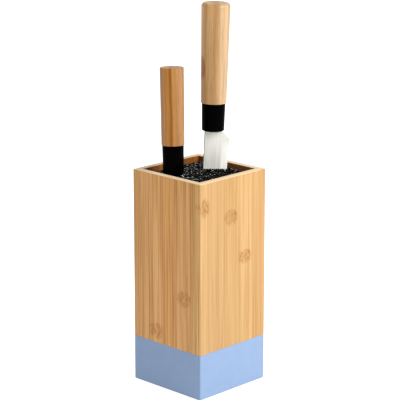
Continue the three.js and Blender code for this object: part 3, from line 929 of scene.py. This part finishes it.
def aside(knife, matrix, point):  # which face of the blade a rod stands on
    return 1 if (matrix.inverted() @ point).y >= 0 else -1


def beside(knife, matrix, point):
    local = matrix.inverted() @ point
    spine = -knife["spineOffset"] * mm
    edge = spine + knife["heelHeight"] * mm
    return abs(local.y) < bristles["touching"] * mm and spine < local.x < edge


def parted(knife, matrix, point, side, radius):
    local = matrix.inverted() @ point
    spine = -knife["spineOffset"] * mm
    edge = spine + knife["heelHeight"] * mm
    if local.z < -(knife["bladeLength"] + bristles["belowPoint"]) * mm:
        return point
    past = max(spine - local.x, local.x - edge, 0) / (bristles["closing"] * mm)
    if past >= 1:
        return point
    room = (knife["thickness"] / 2 + bristles["gap"]) * mm + radius
    away = local.y * side
    push = room - away
    if away > 0:
        push = room * max(0, 1 - away / (bristles["reach"] * mm)) ** 2
        push = max(push, room - away)
    sideways = (matrix.to_3x3() @ Vector((0, 1, 0))) * (push * side * (1 - past * past))
    return point + Vector((sideways.x, sideways.y, 0))


makeBristles()

turning = {"steps": 96, "ferruleWall": 1.8, "ferruleFloor": 2.5, "ferruleRound": 1.1,
           "mouthEase": 0.3, "neckEase": 0.4, "arcSteps": 8, "fit": 0.3, "tangWidth": 11,
           "tangShare": 0.8, "tangOverlap": 2, "slotOverrun": 1}


def arc(radius, height, ease, rising):  # a quarter round, up from a lower edge or to an upper
    points = []
    for i in range(turning["arcSteps"] + 1):
        angle = math.pi / 2 * i / turning["arcSteps"]
        if rising:
            points.append((radius - ease * (1 - math.sin(angle)),
                           height + ease * (1 - math.cos(angle))))
        else:
            points.append((radius - ease * (1 - math.cos(angle)),
                           height - ease * (1 - math.sin(angle))))
    return points


def scaled(profile):
    return [(radius * mm, height * mm) for radius, height in profile]


def tangTool(knife, clearance, low, high):
    halfWidth = (turning["tangWidth"] / 2 + clearance) * mm
    halfThick = (turning["tangShare"] * knife["thickness"] / 2 + clearance) * mm
    return boxPiece("tangTool", (-halfWidth, -halfThick, low * mm),
                    (halfWidth, halfThick, high * mm))


def bladeHeightAt(knife, distance):
    fromPoint = knife["bladeLength"] - distance
    if distance < knife["heelLength"]:
        flare = math.sin(math.pi / 2 * distance / knife["heelLength"])
        return knife["shoulderHeight"] + (knife["heelHeight"] - knife["shoulderHeight"]) * flare
    if fromPoint < knife["pointLength"]:
        rest = 1 - fromPoint / knife["pointLength"]
        rounded = math.sqrt(max(0, 1 - rest * rest))
        return max(blades["tipHeight"], knife["frontHeight"] * rounded)
    along = (distance - knife["heelLength"]) / (knife["bladeLength"] - knife["pointLength"]
                                                - knife["heelLength"])
    return knife["heelHeight"] + (knife["frontHeight"] - knife["heelHeight"]) * along


blades = {"heelSteps": 10, "pointSteps": 22, "spineEase": 0.35, "edge": 0.3, "tipShare": 0.6,
          "tipHeight": 0.8, "grindRun": 8, "edgeFacing": 0.03, "spineFacing": -0.3}


def makeBlade(name, knife):
    spine = -knife["spineOffset"]
    half = knife["thickness"] / 2
    ease, thin = blades["spineEase"], blades["edge"] / 2
    high = knife["shoulderHeight"]
    bevel = spine + high - knife["bevelWidth"] * high / knife["heelHeight"]
    top = -turning["fit"]
    section = [(spine + ease, half), (bevel, half), (spine + high, thin),
               (spine + high, -thin), (bevel, -half), (spine + ease, -half),
               (spine, ease - half), (spine, half - ease)]
    blade = pathOfPoints(name + "Blade", [(x * mm, y * mm, top * mm) for x, y in section])
    bpy.ops.mesh.select_all(action="SELECT")
    bpy.ops.mesh.edge_face_add()
    distances = [knife["heelLength"] * (i + 1) / blades["heelSteps"]
                 for i in range(blades["heelSteps"])]
    distances.append(knife["heelLength"] + blades["grindRun"])
    for i in range(blades["pointSteps"] + 1):
        rise = math.sin(math.pi / 2 * i / blades["pointSteps"])
        distances.append(knife["bladeLength"] - knife["pointLength"] * (1 - rise))
    before, beforeHeight, beforeThick = 0, high, 1
    for distance in distances:
        height = bladeHeightAt(knife, distance)
        along = max(0, distance - knife["heelLength"]) / knife["bladeLength"]
        thick = 1 - (1 - blades["tipShare"]) * along ** 2
        bpy.ops.mesh.extrude_region_move(
            TRANSFORM_OT_translate={"value": (0, 0, (before - distance) * mm)})
        bpy.ops.transform.resize(
            value=(height / beforeHeight, thick / beforeThick, 1),
            center_override=(spine * mm, 0, (top - distance) * mm))
        before, beforeHeight, beforeThick = distance, height, thick
    heel = top - knife["heelLength"] - 0.1
    selectEdges(blade, lambda a, b: min(a.z, b.z) > heel * mm
                and max(abs(a.y), abs(b.y)) < 1.5 * thin * mm)
    bpy.ops.transform.resize(value=(1, half / thin, 1), center_override=(0, 0, 0))
    leaveEdit()
    outwards(blade)
    tang = tangTool(knife, 0, -turning["tangOverlap"],
                    turning["ferruleFloor"] + knife["tangLength"])
    placed(tang, Matrix.Rotation(math.radians(-knife["cant"]), 4, "Y"))
    joinShape(blade, tang, "UNION")
    return blade


def makeKnife(name, knife):
    wall, floor, fit = turning["ferruleWall"], turning["ferruleFloor"], turning["fit"]
    low, high = knife["ferruleBottom"] / 2, knife["ferruleTop"] / 2
    length = knife["ferruleLength"]
    profile = [(0, 0)] + arc(low, 0, turning["ferruleRound"], True)
    profile += arc(high, length, turning["mouthEase"], False)
    profile += [(low - wall, length), (low - wall, floor), (0, floor)]
    ferrule = turnedPiece(name + "Ferrule", scaled(profile), turning["steps"])

    spigot, shoulder = low - wall - fit, length + fit
    end = length + knife["woodLength"]
    profile = [(0, floor + fit), (spigot, floor + fit), (spigot, shoulder)]
    profile += arc(knife["neckDiameter"] / 2, shoulder, turning["neckEase"], True)
    profile += arc(knife["endDiameter"] / 2, end, knife["endRound"], False)
    profile += [(0, end)]
    handle = turnedPiece(name + "Handle", scaled(profile), turning["steps"])
    past = turning["slotOverrun"]
    for piece in (ferrule, handle):
        slot = tangTool(knife, fit, -past, floor + knife["tangLength"] + past)
        joinShape(piece, slot, "DIFFERENCE")
    blade = makeBlade(name, knife)

    matrix = knifeMatrix(knife)
    grip = matrix @ Matrix.Rotation(math.radians(-knife["cant"]), 4, "Y")
    for piece, where in ((ferrule, grip), (handle, grip), (blade, matrix)):
        placed(piece, where)
        smoothed(piece, 25)
    body = knife["body"]
    finished(handle, body, knife["slot"], handleMaterial(handleWoods[knife["wood"]], grip),
             name + "_handle")
    finished(ferrule, body, "black_plastic", nylon, name + "_ferrule")
    finished(blade, body, "blade_steel", steelMaterial(steel["flat"], matrix), name + "_blade")
    for finish in ("edge", "spine"):
        blade.data.materials.append(steelMaterial(steel[finish], matrix))
    toKnife = matrix.inverted()
    # edge faces get the painted highlight colour, spine faces the dark spine colour
    for face in blade.data.polygons:
        across = (toKnife.to_3x3() @ face.normal).x
        below = -(toKnife @ face.center).z
        if across > blades["edgeFacing"] and below > knife["heelLength"] * mm:
            face.material_index = 1
        elif across < blades["spineFacing"] and below > 0:
            face.material_index = 2
    print(name, "knife done")


nylon = plasticMaterial(plastics["ferrule"])
for knifeName, knifeValues in knives.items():
    makeKnife(knifeName, knifeValues)

studio = {
    "azimuth": 44.3, "elevation": 14.96, "distance": 1806, "aimHeight": 192.1,
    "aimRight": 0.66, "lens": 160.1, "sensor": 36,
    "keyAzimuth": 105, "keyElevation": 32, "keyDistance": 2.0, "keySize": 1.4, "keyPower": 70,
    "room": 1.0, "floorGlow": 0.75, "floorColour": "#C8C8C8",
}


def towards(azimuth, elevation):
    a, e = math.radians(azimuth), math.radians(elevation)
    return Vector((math.sin(a) * math.cos(e), -math.cos(a) * math.cos(e), math.sin(e)))


def makeStudio():
    nothingSelected()
    bpy.ops.mesh.primitive_plane_add(size=12, location=(0, 0, 0))
    floor = bpy.context.object
    floor.name = "studioFloor"
    paper, tree, shader, _ = newMaterial(
        "white paper", Roughness=0.9, Emission_Strength=studio["floorGlow"])
    shader.inputs["Emission Color"].default_value = linear("#FFFFFF")
    grain = addNode(tree, "ShaderNodeTexNoise", {"Scale": 400.0, "Detail": 2.0})
    colour = addNode(tree, "ShaderNodeValToRGB", {"Fac": grain},
                     stops=[(0.3, studio["floorColour"]), (0.7, "#D0D0D0")])
    tree.links.new(colour, shader.inputs["Base Color"])
    floor.data.materials.append(paper)

    world = bpy.data.worlds.new("white room")
    bpy.context.scene.world = world
    world.use_nodes = True
    light = world.node_tree.nodes["Background"]
    light.inputs["Color"].default_value = linear("#FFFFFF")
    light.inputs["Strength"].default_value = studio["room"]

    aim = Vector((0, 0, studio["aimHeight"] * mm))
    keyData = bpy.data.lights.new("keyLight", "AREA")
    keyData.size = studio["keySize"]
    keyData.energy = studio["keyPower"]
    key = bpy.data.objects.new("keyLight", keyData)
    bpy.context.scene.collection.objects.link(key)
    ray = towards(studio["keyAzimuth"], studio["keyElevation"])
    key.location = aim + ray * studio["keyDistance"]
    key.rotation_euler = ray.to_track_quat("Z", "Y").to_euler()

    back = towards(studio["azimuth"], studio["elevation"])
    turn = math.radians(studio["azimuth"])
    right = Vector((math.cos(turn), math.sin(turn), 0))
    cameraData = bpy.data.cameras.new("camera")
    cameraData.lens = studio["lens"]
    cameraData.sensor_width = studio["sensor"]
    cameraData.clip_start, cameraData.clip_end = 0.1, 50
    camera = bpy.data.objects.new("camera", cameraData)
    bpy.context.scene.collection.objects.link(camera)
    camera.location = aim + right * (studio["aimRight"] * mm) + back * (studio["distance"] * mm)
    camera.rotation_euler = back.to_track_quat("Z", "Y").to_euler()
    bpy.context.scene.camera = camera
    bpy.context.scene.view_settings.view_transform = "Standard"
    print("studio done")


makeStudio()
nothingSelected()
